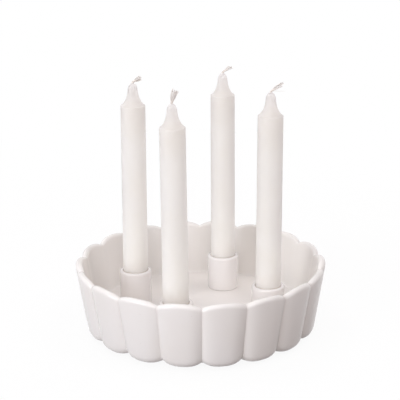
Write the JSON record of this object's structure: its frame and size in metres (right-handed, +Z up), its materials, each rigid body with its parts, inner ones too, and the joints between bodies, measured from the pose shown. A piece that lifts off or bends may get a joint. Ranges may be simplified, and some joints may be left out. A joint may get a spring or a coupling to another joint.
{
  "type": "advent candle holder",
  "caption": "Scalloped glazed ceramic bowl with short candle cups standing in a square on its floor, each holding a straight dinner candle that lifts out.",
  "frame": {"origin": "centre of the bowl's foot, on the table", "axes": "+Z up; the candle cups lie on the X and Y axes, with +X to the right and +Y to the rear of the pictured view"},
  "size_m": [0.222, 0.2204, 0.2303],
  "materials": {
    "glaze": "glossy off-white glaze",
    "wax": "smooth satin wax, slightly translucent",
    "cotton": "braided cotton"
  },
  "bodies": {
    "holder": {"scalloped_bowl": "glaze", "candle_cup_right": "glaze", "candle_cup_rear": "glaze", "candle_cup_left": "glaze", "candle_cup_front": "glaze"},
    "right_candle": {"candle_right": "wax", "wick_right": "cotton"},
    "rear_candle": {"candle_rear": "wax", "wick_rear": "cotton"},
    "left_candle": {"candle_left": "wax", "wick_left": "cotton"},
    "front_candle": {"candle_front": "wax", "wick_front": "cotton"}
  },
  "joints": [
    {"name": "right_candle_lift", "type": "slide", "parent": "holder", "child": "right_candle", "axis": [0, 0, 1], "range_m": [0, 0.055]},
    {"name": "rear_candle_lift", "type": "slide", "parent": "holder", "child": "rear_candle", "axis": [0, 0, 1], "range_m": [0, 0.055]},
    {"name": "left_candle_lift", "type": "slide", "parent": "holder", "child": "left_candle", "axis": [0, 0, 1], "range_m": [0, 0.055]},
    {"name": "front_candle_lift", "type": "slide", "parent": "holder", "child": "front_candle", "axis": [0, 0, 1], "range_m": [0, 0.055]}
  ]
}
